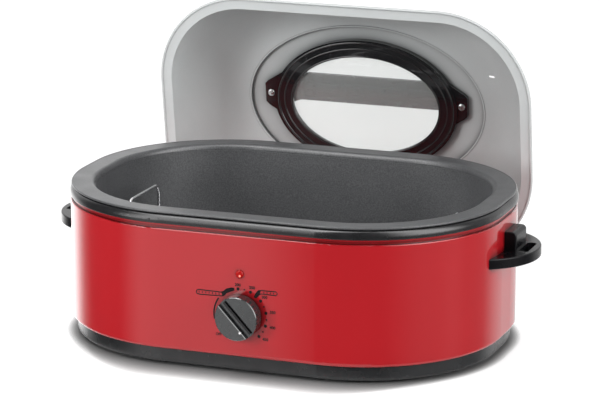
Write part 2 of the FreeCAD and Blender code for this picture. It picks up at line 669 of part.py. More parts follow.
def make_side_handle(side, label):
    """Half-moon grip with a finger slot, and the block above it that is screwed to one end of the shell."""
    grip = new_body(f"{label}_grip")
    sketch = sketch_on(grip, "XY_Plane", "grip_low")
    draw_circle(sketch, "grip_curve", (f"{side} * (rim_length / 2 + grip_reach - grip_curve)", "grip_y"))
    slab = add_feature(grip, "Pad", sketch, "grip_thick")
    round_edges(grip, slab, "grip_round", lambda edge: True)
    raised = new_body(f"{label}_block")
    profile = sketch_on(raised, "XZ_Plane", "-grip_y - block_half_span")
    near, far = f"{side} * (rim_length / 2 - block_root)", f"{side} * (rim_length / 2 + block_reach)"
    low = "grip_low + grip_thick / 2"
    draw_polygon(profile, [(near, low), (far, low), (far, "block_high"), (near, "block_high")])
    block = add_feature(raised, "Pad", profile, "2 * block_half_span")
    rounded = round_edges(raised, block, "block_round", outer_top(far))
    round_edges(raised, rounded, "block_edge_round", block_end)
    slot = new_body(f"{label}_slot")
    finger_x = f"{side} * (rim_length / 2 + finger_inner + finger_width / 2)"
    rounded_pad(slot, ("finger_width", "2 * finger_half_span", "finger_width / 2 - tool_gap"),
                "grip_low - tool_gap", "grip_low + grip_thick + tool_gap", middle=(finger_x, "grip_y"))
    casing = new_body(f"{label}_casing")
    rounded_pad(casing, inset(SHELL, "-fit_gap / 2"), "grip_low - tool_gap", "block_high + tool_gap")
    outwards = FreeCAD.Rotation(FreeCAD.Vector(0, 1, 0), 90 * side)
    start = f"{side} * (rim_length / 2 - shell_inset - sheet)"
    bores = [cylinder("small_bore", "handle_bore", (start, y, z), outwards) for y, z in HANDLE_SCREWS]
    keep(cut(fuse(grip, raised), fuse(slot, casing, *bores)), label)


def outer_top(reach):
    """Test for the outer edge on top of a handle's block."""
    def chosen(edge):
        middle = edge.CenterOfMass
        return abs(middle.z - value("block_high")) < 1e-4 and abs(middle.x - value(reach)) < 1e-4
    return chosen


def block_end(edge):
    """Test for the upper and outer edges of the two end faces of a handle's block."""
    middle = edge.CenterOfMass
    at_end = edge.BoundBox.YLength < 1e-4
    above = middle.z > value("grip_low + grip_thick / 2") + 1e-4
    return at_end and above and abs(middle.x) > value("rim_length / 2 - block_root") + 1e-4


def make_handle_screws():
    """Screws through the shell into the handles, with their heads inside the shell."""
    screws = []
    for side in (-1, 1):
        turn = FreeCAD.Rotation(FreeCAD.Vector(0, 1, 0), 90 * side)
        sheet_face = "rim_length / 2 - shell_inset - sheet"
        for y, z in HANDLE_SCREWS:
            head_end = f"{side} * ({sheet_face} - head_height - fit_gap / 2)"
            shank_end = f"{side} * ({sheet_face} - head_height / 4)"
            head = cylinder("small_head", "head_height", (head_end, y, z), turn)
            shank = cylinder("small_screw", "3 * head_height", (shank_end, y, z), turn)
            screws.append(fuse(head, shank))
    keep(group(screws), "handle_screws")


# --- lid rests ---

REST_LEVELS = ("rest_screw_low", "rest_screw_high")
REST_SCREWS = [(f"{side} * rest_x", level) for side in (-1, 1) for level in REST_LEVELS]


def make_lid_rest(side, label):
    """Bent strap on the rear of the shell; its slot holds the lower edge of the parked lid."""
    body = new_body(label)
    start = "rim_depth / 2 - shell_inset"
    floor = "parked_z - rest_drop"
    front_lip = "parked_y - rest_slot"
    back_lip = "parked_y + rest_slot / 2"
    profile = [
        (start, "rest_top"), (start, f"{floor} - rest_sheet"),
        (f"{back_lip} + rest_sheet", f"{floor} - rest_sheet"),
        (f"{back_lip} + rest_sheet", f"{floor} + rest_lip"), (back_lip, f"{floor} + rest_lip"),
        (back_lip, floor), (f"{front_lip} + rest_sheet", floor),
        (f"{front_lip} + rest_sheet", f"{floor} + rest_inner_lip"),
        (front_lip, f"{floor} + rest_inner_lip"),
        (front_lip, floor), (f"{start} + rest_sheet", floor), (f"{start} + rest_sheet", "rest_top"),
    ]
    sketch = sketch_on(body, "YZ_Plane", f"{side} * rest_x - rest_width / 2")
    draw_polygon(sketch, profile)
    add_feature(body, "Pad", sketch, "rest_width")
    holes = [(f"{side} * rest_x", level) for level in REST_LEVELS]
    drill(body, "XZ_Plane", "screw_hole", holes, f"-({start}) + tool_gap", "2 * rest_sheet")
    keep(body, label)


def make_rest_screws():
    """Screws and nuts that hold the lid rests on the rear of the shell."""
    screws = []
    for x, z in REST_SCREWS:
        head = cylinder("head_radius", "head_height", (x, "rim_depth / 2 - shell_inset + rest_sheet", z),
                        TO_REAR)
        shank = cylinder("screw_radius", "nut_height + sheet + rest_sheet + tool_gap",
                         (x, f"{INNER_FRONT} - nut_height", z), TO_REAR)
        nut = prism("nut_radius", "nut_height", (x, f"{INNER_FRONT} - nut_height", z), TO_REAR)
        screws.append(fuse(head, shank, nut))
    keep(group(screws), "rest_screws")


# --- pan and rack ---

def make_pan():
    """Enamelled pan: tapered tub, wide flat flange and a rounded shoulder between them."""
    body = new_body("roasting_pan_block")
    outside = inset(PAN_OPENING, "-pan_wall")
    tub = rounded_pad(body, outside, "pan_floor", "rim_top", taper="-pan_taper", downward=True)
    round_edges(body, tub, "pan_bottom_round", at_level("pan_floor"))
    rounded_pad(body, inset(RIM, "pan_edge_inset"), "ring_top", "rim_top")
    shoulder_low = "rim_top - pan_shoulder - tool_gap"
    rounded_pad(body, inset(PAN_OPENING, "-pan_shoulder - pan_wall / 2"), shoulder_low, "rim_top")
    mouth = rounded_pocket(body, PAN_OPENING, "rim_top", shoulder_low)
    round_edges(body, mouth, "pan_shoulder", at_level("rim_top", PAN_OPENING))
    core = rounded_core("roasting_pan_core", PAN_OPENING, "pan_floor + pan_wall", "rim_top",
                        "pan_bottom_round - pan_wall", "-pan_taper")
    keep(cut(body, core), "roasting_pan")


def wire_piece(path, radius):
    """Round wire along a path of straight and arc edges."""
    start = path.Edges[0]
    direction = start.tangentAt(start.FirstParameter)
    circle = Part.makeCircle(radius, start.valueAt(start.FirstParameter), direction)
    return path.makePipeShell([Part.Wire([circle])], True, True)


def rounded_path(length, depth, radius, height):
    """Closed wire path of a rounded rectangle at one height."""
    block = Part.makeBox(length, depth, 1, FreeCAD.Vector(-length / 2, -depth / 2, height))
    corners = [edge for edge in block.Edges if abs(edge.Vertexes[0].Z - edge.Vertexes[1].Z) > 0.5]
    rounded = block.makeFillet(radius, corners)
    floor = [face for face in rounded.Faces if abs(face.CenterOfMass.z - height) < 1e-6]
    return Part.Wire(Part.__sortEdges__(floor[0].OuterWire.Edges))


def wires(shapes):
    """Finished wire shapes as separate solids of one node."""
    pieces = []
    for shape in shapes:
        piece = doc.addObject("Part::Feature", "Wire")
        piece.Shape = shape
        pieces.append(piece)
    return group(pieces)


def across_rack(offset, half_side, half_end, corner):
    """Half the length of a straight wire that crosses the frame at an offset from its middle."""
    beyond = max(0.0, abs(offset) - (half_side - corner))
    return half_end - corner + math.sqrt(corner ** 2 - beyond ** 2)


def make_rack():
    """Chromed wire rack: a rounded frame on two legged runners, cross wires on top, and lifting loops."""
    half_x, half_y = value("rack_length / 2"), value("rack_depth / 2")
    corner, height = value("rack_corner"), value("rack_height")
    thick, thin, gap = value("wire / 2"), value("cross_wire / 2"), value("weld_gap")
    frame = wire_piece(rounded_path(2 * half_x, 2 * half_y, corner, height), thick)
    keep(wires([frame]), "rack_frame")
    crossing = []
    count, pitch = int(value("cross_count")), value("cross_pitch")
    for index in range(count):
        x = (index - (count - 1) / 2) * pitch
        reach = across_rack(x, half_x, half_y, corner)
        end = FreeCAD.Vector(x, -reach, height + thick + thin + gap)
        crossing.append(Part.makeCylinder(thin, 2 * reach, end, FreeCAD.Vector(0, 1, 0)))
    keep(wires(crossing), "rack_wires")
    runners = []
    for y in (-half_y / 2, half_y / 2):
        reach = across_rack(y, half_y, half_x, corner)
        end = FreeCAD.Vector(-reach, y, height - 2 * thick - gap)
        legs = []
        for x in (-half_x / 2, half_x / 2):
            foot = FreeCAD.Vector(x, y, value("pan_floor + pan_wall + rack_clear"))
            legs.append(Part.makeCylinder(thick, end.z - foot.z, foot))
        runners.append(Part.makeCylinder(thick, 2 * reach, end, FreeCAD.Vector(1, 0, 0)).multiFuse(legs))
    keep(wires(runners), "rack_runners")
    inner = 2 * thick + gap
    beside = across_rack(value("loop_half_span"), half_y - inner, half_x - inner, corner - inner)
    loops = [lifting_loop(side, beside, height, thick) for side in (-1, 1)]
    keep(wires(loops), "rack_loops")


def lifting_loop(side, x, height, radius):
    """Upright wire loop that rises from the inner side of one end of the frame."""
    half, top, bend = value("loop_half_span"), value("loop_top"), value("loop_bend")
    spot = side * x
    corner_in = bend * (1 - math.sqrt(0.5))
    low_left = FreeCAD.Vector(spot, -half, height - radius)
    high_left = FreeCAD.Vector(spot, -half, top - bend)
    turn_left = FreeCAD.Vector(spot, -half + corner_in, top - corner_in)
    top_left = FreeCAD.Vector(spot, -half + bend, top)

    def mirrored(point):
        return FreeCAD.Vector(point.x, -point.y, point.z)
    edges = [
        Part.makeLine(low_left, high_left),
        Part.Arc(high_left, turn_left, top_left).toShape(),
        Part.makeLine(top_left, mirrored(top_left)),
        Part.Arc(mirrored(top_left), mirrored(turn_left), mirrored(high_left)).toShape(),
        Part.makeLine(mirrored(high_left), mirrored(low_left)),
    ]
    return wire_piece(Part.Wire(edges), radius)


# --- lid, in the lid frame ---

def dome_outline(wall, angle):
    """Outline of the dome, moved in by the wall, at an angle of its quarter-ellipse profile."""
    mouth = inset(inset(LID_EDGE, "lid_flange"), wall)
    crown = inset(LID_CROWN, wall)
    reached = f"(1 - cos({angle}))"
    return tuple(f"({low}) + (({high}) - ({low})) * {reached}" for low, high in zip(mouth, crown))


def dome_loft(body, kind, wall):
    """Dome from the flange to the crown, outside for a negative wall and inside for zero."""
    sketches = []
    for angle in (0, 20, 40, 58, 74, 90):
        sketch = sketch_on(body, "XY_Plane", f"(lid_height - lid_sheet - ({wall})) * sin({angle})")
        draw_rounded(sketch, dome_outline(wall, angle))
        sketches.append(sketch)
    loft = body.newObject("PartDesign::" + kind, body.Name + "_loft")
    loft.Profile = sketches[0]
    loft.Sections = sketches[1:]
    return loft


CROWN = "lid_height + panel_step"
UNDER_PANEL = "lid_height + panel_step - lid_sheet"
LID_SCREWS = [("-lid_screw_x", "lid_screw_y"), ("lid_screw_x", "lid_screw_y")]


def make_lid_shell():
    """Formed steel dome with a flat flange and a raised oval panel that has the window opening."""
    body = new_body("lid_shell")
    rounded_pad(body, LID_EDGE, "0", "lid_sheet")
    dome_loft(body, "AdditiveLoft", "-lid_sheet")
    oval_pad(body, "panel_length / 2", "panel_depth / 2", "lid_height - 2 * lid_sheet", CROWN)
    dome_loft(body, "SubtractiveLoft", "0")
    oval_pocket(body, "panel_length / 2 - lid_sheet", "panel_depth / 2 - lid_sheet", UNDER_PANEL,
                "lid_height - panel_step")
    oval_pocket(body, "window_half_length", "window_half_depth", f"{CROWN} + tool_gap",
                "lid_height - panel_step")
    drill(body, "XY_Plane", "screw_hole", LID_SCREWS, f"{CROWN} + tool_gap", "2 * panel_step")
    vent = ("vent_length", "vent_width", "vent_width / 2 - fit_gap / 2")
    rounded_pocket(body, vent, CROWN, "lid_height / 3", middle=("vent_x", "vent_y"))
    keep_on_lid(body, "lid_shell")


def make_window():
    """Glass in a gasket, held up against the lid by the moulded frame inside."""
    frame = new_body("window_frame")
    low = f"{UNDER_PANEL} - frame_thick"
    above = f"{UNDER_PANEL} + tool_gap"
    oval_pad(frame, "window_half_length + frame_width", "window_half_depth + frame_width - frame_lip", low,
             UNDER_PANEL)
    seat = f"{UNDER_PANEL} - gasket_thick - glass_thick"
    ears = sketch_on(frame, "XY_Plane", f"{UNDER_PANEL} - ear_thick")
    draw_polygon(ears, ear_outline())
    add_feature(frame, "Pad", ears, "ear_thick")
    oval_pocket(frame, "window_half_length - frame_lip", "window_half_depth - frame_lip", above,
                f"{low} - tool_gap")
    oval_pocket(frame, "window_half_length + glass_lap", "window_half_depth + glass_lap", above, seat)
    drill(frame, "XY_Plane", "screw_hole", LID_SCREWS, above, "2 * frame_thick")
    keep_on_lid(frame, "window_frame")
    half_x = "window_half_length + glass_lap - glass_play"
    half_y = "window_half_depth + glass_lap - glass_play"
    glass = new_body("window_glass")
    oval_pad(glass, half_x, half_y, seat, f"{seat} + glass_thick")
    keep_on_lid(glass, "window_glass")
    gasket = new_body("window_gasket")
    oval_pad(gasket, half_x, half_y, f"{seat} + glass_thick", UNDER_PANEL)
    oval_pocket(gasket, "window_half_length", "window_half_depth", UNDER_PANEL, seat)
    keep_on_lid(gasket, "window_gasket")


def ear_outline():
    """Outline across the frame of its two screw ears, anticlockwise from the left one."""
    left_half = [("-ear_root", "ear_root_half"), ("-ear_reach + ear_bend", "ear_half + ear_bend"),
                 ("-ear_reach", "ear_half")]
    lower_left = [(x, f"lid_screw_y - ({y})") for x, y in reversed(left_half)]
    upper_left = [(x, f"lid_screw_y + ({y})") for x, y in left_half]
    lower_right = [(f"-({x})", y) for x, y in reversed(lower_left)]
    upper_right = [(f"-({x})", y) for x, y in reversed(upper_left)]
    return lower_left + lower_right + upper_right + upper_left


def make_lid_handle():
    """Bridge handle over the window: two feet, and a bar that is hollow and ribbed underneath."""
    body = new_body("lid_handle")
    bar_low = f"{CROWN} + lid_handle_rise"
    bar_high = f"{bar_low} + lid_handle_thick"
    bar = ("2 * (lid_screw_x + lid_foot)", "lid_handle_width", "lid_handle_thick - tool_gap")
    rounded_pad(body, bar, CROWN, bar_high, middle=("0", "lid_screw_y"))
    round_edges(body, body.Tip, "lid_handle_round", at_level(bar_high))
    arch = sketch_on(body, "XZ_Plane", "-lid_handle_width")
    reach = "lid_screw_x - lid_foot"
    draw_polygon(arch, [(f"-({reach})", f"{CROWN} - tool_gap"), (reach, f"{CROWN} - tool_gap"),
                        (f"{reach} - lid_foot", bar_low), (f"-({reach}) + lid_foot", bar_low)])
    add_feature(body, "Pocket", arch, "2 * lid_handle_width", reverse=True)
    hollow = sketch_on(body, "XY_Plane", bar_low)
    side_width = "bay_end - rib_half_pitch - rib_half"
    for middle_x, width in (("0", "2 * (rib_half_pitch - rib_half)"),
                            ("-(bay_end + rib_half_pitch + rib_half) / 2", side_width),
                            ("(bay_end + rib_half_pitch + rib_half) / 2", side_width)):
        outline = (width, "lid_handle_width - 2 * bay_inset", "rib_half")
        draw_rounded(hollow, outline, (middle_x, "lid_screw_y"))
    add_feature(body, "Pocket", hollow, "lid_handle_thick - bay_roof", reverse=True)
    screws = sketch_on(body, "XY_Plane", CROWN)
    for middle in LID_SCREWS:
        draw_circle(screws, "screw_bore", middle)
    add_feature(body, "Pocket", screws, "lid_foot", reverse=True)
    keep_on_lid(body, "lid_handle")


def make_lid_screws():
    """Screws up through the frame's ears and the lid into the feet of the handle."""
    screws = []
    head_low = f"{UNDER_PANEL} - ear_thick - head_height"
    for x, y in LID_SCREWS:
        head = cylinder("head_radius", "head_height", (x, y, head_low))
        shank = cylinder("screw_radius", "ear_thick + head_height + lid_foot - panel_step",
                         (x, y, f"{head_low} + head_height / 2"))
        screws.append(fuse(head, shank))
    keep_on_lid(group(screws), "lid_screws")


# --- build, check and write ---

def build():
    make_outer_shell()
    make_rim_ring()
    make_well_liner()
    make_base_tray()
    make_heat_shield()
    make_posts()
    make_feet()
    make_heater_band(-1, "heater_band_left")
    make_heater_band(1, "heater_band_right")
    make_band_fittings()
    make_insulation()
    make_thermostat()
    make_indicator()
    make_terminal_block()
    make_cord_gland()
    make_knob()
    make_side_handle(-1, "side_handle_left")
    make_side_handle(1, "side_handle_right")
    make_handle_screws()
    make_lid_rest(-1, "lid_rest_left")
    make_lid_rest(1, "lid_rest_right")
    make_rest_screws()
    make_pan()
    make_rack()
    make_lid_shell()
    make_window()
    make_lid_handle()
    make_lid_screws()
    doc.recompute()


def check():
    for item in doc.Objects:
        if "Invalid" in item.State or "Error" in item.State:
            raise ValueError(f"{item.Name} did not rebuild: {item.State}")
    for item in SUBPARTS:
        if item.Shape.isNull() or not item.Shape.isValid() or item.Shape.Volume <= 0:
            raise ValueError(f"{item.Label} has no sound shape")


def write():
    os.makedirs("parts", exist_ok=True)
    everything = FreeCAD.BoundBox()
    for item in SUBPARTS:
        item.Shape.exportStep(f"parts/{item.Label}.step")
        everything.add(item.Shape.optimalBoundingBox())
        print(f"{item.Label}: {len(item.Shape.Solids)} solid(s), {item.Shape.Volume / 1000:.1f} cm3")
    print(f"{len(SUBPARTS)} nodes, box {everything}")


build()
check()
write()
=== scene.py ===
import json
import math

import bmesh
import bpy
from mathutils import Matrix, Vector


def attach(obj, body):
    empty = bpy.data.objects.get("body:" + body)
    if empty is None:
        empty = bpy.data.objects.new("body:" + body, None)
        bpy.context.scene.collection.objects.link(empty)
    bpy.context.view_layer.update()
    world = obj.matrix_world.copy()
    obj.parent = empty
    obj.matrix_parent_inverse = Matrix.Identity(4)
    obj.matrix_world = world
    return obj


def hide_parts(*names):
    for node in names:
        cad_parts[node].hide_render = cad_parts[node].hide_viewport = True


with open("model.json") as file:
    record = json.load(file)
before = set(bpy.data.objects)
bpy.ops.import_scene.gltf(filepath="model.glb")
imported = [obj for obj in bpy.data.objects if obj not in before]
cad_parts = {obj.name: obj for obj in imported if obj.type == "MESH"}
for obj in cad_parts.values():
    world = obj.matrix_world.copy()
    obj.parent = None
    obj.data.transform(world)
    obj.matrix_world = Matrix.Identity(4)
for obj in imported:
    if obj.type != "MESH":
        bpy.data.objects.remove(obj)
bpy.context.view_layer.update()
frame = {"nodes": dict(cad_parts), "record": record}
NODES = frame["nodes"]
MM, MICRON = 0.001, 0.000001
WHITE = (1, 1, 1, 1)

# Places and sizes in the part's own frame, in mm: X to the right, Y to the rear, Z up. The body's middle
# lies BODY_SHIFT from the origin, and the parked lid leans back by PARKED_LEAN degrees.
BODY_SHIFT = -68.75
FRONT_Y = -184.0 + BODY_SHIFT
KNOB_FACE_Y = -200.2 + BODY_SHIFT
DIAL_X, DIAL_Z = 5.65, 68.9
LENS_X, LENS_Z = 5.0, 117.0
PRINT_PROUD = 0.12
MARK_PROUD = 0.03
RIM_LENGTH, RIM_DEPTH, RIM_CORNER = 520.0, 370.0, 167.0
RIM_TOP = 180.0
BASE_SCREW_X, BASE_SCREW_Y, BASE_SCREW_Z = 110.0, 70.0, 3.0
REST_SCREW_X, REST_SCREW_Y = 80.0, 187.0
REST_SCREW_HEIGHTS = (62.0, 84.0)

# The lid where it is parked, and its own sizes, in mm, measured from the underside of its flange
PARKED_X, PARKED_Y, PARKED_Z, PARKED_LEAN = -14.0, 237.0, 40.0, 8.0
LID_LENGTH, LID_DEPTH, LID_CORNER = 478.0, 316.0, 114.0
LID_INSIDE = 84.8
UNDER_PANEL = 88.8
FRAME_LOW = UNDER_PANEL - 8.0
CROWN = 90.0
HANDLE_LOW = CROWN + 24.0
PANEL_HALF_X, PANEL_HALF_Y = 154.4, 102.4
WINDOW_HALF_X, WINDOW_HALF_Y = 98.0, 65.0
LID_SCREW_X, LID_SCREW_Y = 125.5, -7.0

# What polished surfaces see round the room, as angles in degrees anticlockwise from +X: where each card's
# light starts to rise, is full, starts to fall and has ended, then its brightness below and above eye level
CARDS = {
    "rear": (35, 62, 150, 178, 0.85, 0.85),
    "rear_left": (92, 112, 142, 166, 1.35, 0.3),
    "front_left": (-152, -126, -111.6, -109.6, 1.0, 5.0),
    "right": (-60, -20, -6, 22, 0.33, 6.0),
    "right_wall": (-10, 10, 45, 65, 0.22, 0.4),
}
LOW_CARDS, HIGH_CARDS = -0.2, 0.15
ROOM_LEVEL, DIFFUSE_LEVEL = 0.05, 0.46
TABLE_LEVEL, TABLE_START, TABLE_FULL = 0.6, -0.45, -0.75


# --- camera, light and floor ---

def make_camera():
    """Camera fitted to the picture: it looks at a point on the body's axis, and its lens is shifted."""
    azimuth, elevation = math.radians(20.4), math.radians(15.2)
    distance, focal_px, centre_px = 3.5024, 2999.6, (293.3, 247.8)
    width, height, sensor = 600, 400, 36.0
    target = Vector((0, BODY_SHIFT * MM, 0.1))
    back = Vector((math.sin(azimuth) * math.cos(elevation), -math.cos(azimuth) * math.cos(elevation),
                   math.sin(elevation)))
    right = Vector((math.cos(azimuth), math.sin(azimuth), 0))
    up = back.cross(right)
    data = bpy.data.cameras.new("camera")
    data.sensor_width = sensor
    data.lens = focal_px / width * sensor
    data.shift_x = (width / 2 - centre_px[0]) / width
    data.shift_y = (centre_px[1] - height / 2) / width
    camera = bpy.data.objects.new("camera", data)
    place = Matrix((right, up, back)).transposed().to_4x4()
    place.translation = back * distance + target
    camera.matrix_world = place
    bpy.context.scene.collection.objects.link(camera)
    bpy.context.scene.camera = camera


def area_light(name, place, target, size, power, mirrored=True):
    """Soft rectangular light; polished surfaces mirror it unless told otherwise."""
    data = bpy.data.lights.new(name, "AREA")
    data.shape = "RECTANGLE"
    data.size, data.size_y = size
    data.energy = power
    lamp = bpy.data.objects.new(name, data)
    lamp.location = place
    lamp.visible_glossy = mirrored
    direction = Vector(target) - Vector(place)
    lamp.rotation_euler = direction.to_track_quat("-Z", "Y").to_euler()
    bpy.context.scene.collection.objects.link(lamp)


def make_lights():
    """Overhead light and a fill from each side; places and sizes in metres, power in watts."""
    area_light("overhead", place=(-0.5, -0.6, 1.9), target=(0, -0.05, 0.1), size=(1.35, 1.35), power=24)
    area_light("right_fill", place=(2.3, -0.55, 0.95), target=(0, 0, 0.1), size=(0.9, 1.2), power=36,
               mirrored=False)
    area_light("left_fill", place=(-1.6, -1.9, 0.8), target=(0, 0.1, 0.2), size=(0.8, 0.8), power=31,
               mirrored=False)


class Tree:
    """Short ways to add nodes to a shader's tree."""

    def __init__(self, tree):
        self.tree = tree

    def add(self, kind, **settings):
        node = self.tree.nodes.new("ShaderNode" + kind)
        for name, setting in settings.items():
            setattr(node, name, setting)
        return node

    def feed(self, socket, source):
        """Give a socket a link, or a plain value."""
        if isinstance(source, bpy.types.NodeSocket):
            self.tree.links.new(source, socket)
        else:
            socket.default_value = source

    def math(self, operation, *sources):
        node = self.add("Math", operation=operation)
        for socket, source in zip(node.inputs, sources):
            self.feed(socket, source)
        return node.outputs[0]

    def spread(self, value, start, end, low, high, smooth=False):
        """Carry a value from one range to another."""
        node = self.add("MapRange", interpolation_type="SMOOTHSTEP" if smooth else "LINEAR")
        for name, source in (("Value", value), ("From Min", start), ("From Max", end), ("To Min", low),
                             ("To Max", high)):
            self.feed(node.inputs[name], source)
        return node.outputs[0]

    def mix(self, share, first, second):
        """Mix two shaders."""
        node = self.add("MixShader")
        for socket, source in zip(node.inputs, (share, first, second)):
            self.feed(socket, source)
        return node.outputs[0]


def room_light(tree):
    """Brightness of the room in each direction, as polished surfaces see it."""
    split = tree.add("SeparateXYZ")
    tree.feed(split.inputs[0], tree.add("TexCoord").outputs["Generated"])
    around = tree.math("DEGREES", tree.math("ARCTAN2", split.outputs["Y"], split.outputs["X"]))
    height = split.outputs["Z"]
    total = tree.spread(height, TABLE_START, TABLE_FULL, ROOM_LEVEL, TABLE_LEVEL, smooth=True)
    for rise, full, fall, end, low_level, high_level in CARDS.values():
        level = tree.spread(height, LOW_CARDS, HIGH_CARDS, low_level, high_level, smooth=True)
        rising = tree.spread(around, rise, full, 0.0, 1.0, smooth=True)
        falling = tree.spread(around, fall, end, 1.0, 0.0, smooth=True)
        card = tree.math("MULTIPLY", level, tree.math("MULTIPLY", rising, falling))
        total = tree.math("ADD", total, card)
    return total


def make_world():
    """White to the eye and through glass, even light on matt surfaces, light cards in polished ones."""
    world = bpy.data.worlds.new("studio")
    bpy.context.scene.world = world
    world.use_nodes = True
    world.node_tree.nodes.clear()
    tree = Tree(world.node_tree)
    seen, matt, polished = (tree.add("Background") for _ in range(3))
    seen.inputs["Color"].default_value = WHITE
    matt.inputs["Strength"].default_value = DIFFUSE_LEVEL
    polished.inputs["Color"].default_value = WHITE
    tree.feed(polished.inputs["Strength"], room_light(tree))
    path = tree.add("LightPath")
    direct = tree.math("MAXIMUM", path.outputs["Is Camera Ray"], path.outputs["Is Transmission Ray"])
    unseen = tree.mix(path.outputs["Is Glossy Ray"], matt.outputs[0], polished.outputs[0])
    output = tree.add("OutputWorld")
    tree.feed(output.inputs["Surface"], tree.mix(direct, unseen, seen.outputs[0]))


def make_floor():
    """Wide flat floor under the object."""
    half = 6.0
    mesh = bpy.data.meshes.new("floor")
    corners = [(-half, -half, 0), (half, -half, 0), (half, half, 0), (-half, half, 0)]
    mesh.from_pydata(corners, [], [(0, 1, 2, 3)])
    mesh.materials.append(floor_look())
    floor = bpy.data.objects.new("floor", mesh)
    bpy.context.scene.collection.objects.link(floor)


def floor_look():
    """Pale surface that reads white to the eye, is darker by the object and is clear to mirrored rays."""
    lift_level, full_colour, seen_colour = 0.9, 0.82, 0.16
    material = bpy.data.materials.new("floor")
    material.use_nodes = True
    tree = Tree(material.node_tree)
    shader = material.node_tree.nodes["Principled BSDF"]
    shader.inputs["Roughness"].default_value = 0.6
    shader.inputs["Specular IOR Level"].default_value = 0.1
    shader.inputs["Emission Color"].default_value = WHITE
    path = tree.add("LightPath")
    direct = tree.math("MAXIMUM", path.outputs["Is Camera Ray"], path.outputs["Is Transmission Ray"])
    shade = contact_shade(tree)
    lift = tree.math("MULTIPLY", tree.math("MULTIPLY", direct, shade), lift_level)
    tree.feed(shader.inputs["Emission Strength"], lift)
    tree.feed(shader.inputs["Base Color"], tree.spread(direct, 0.0, 1.0, full_colour, seen_colour))
    clear = tree.add("BsdfTransparent").outputs[0]
    passed = tree.math("MULTIPLY", path.outputs["Is Glossy Ray"], shade)
    output = material.node_tree.nodes["Material Output"]
    tree.feed(output.inputs["Surface"], tree.mix(passed, shader.outputs[0], clear))
    return material


def contact_shade(tree):
    """Share of light left close to the object; the shade reaches less far, in metres, towards its ends."""
    middle_x, end_x, middle_reach, end_reach, power = 0.1, 0.24, 0.045, 0.015, 5.0
    place = tree.add("SeparateXYZ")
    tree.feed(place.inputs[0], tree.add("NewGeometry").outputs["Position"])
    off_middle = tree.math("ABSOLUTE", place.outputs["X"])
    reach = tree.spread(off_middle, middle_x, end_x, middle_reach, end_reach, smooth=True)
    contact = tree.add("AmbientOcclusion")
    tree.feed(contact.inputs["Distance"], reach)
    return tree.math("POWER", contact.outputs["AO"], power)


# --- materials ---

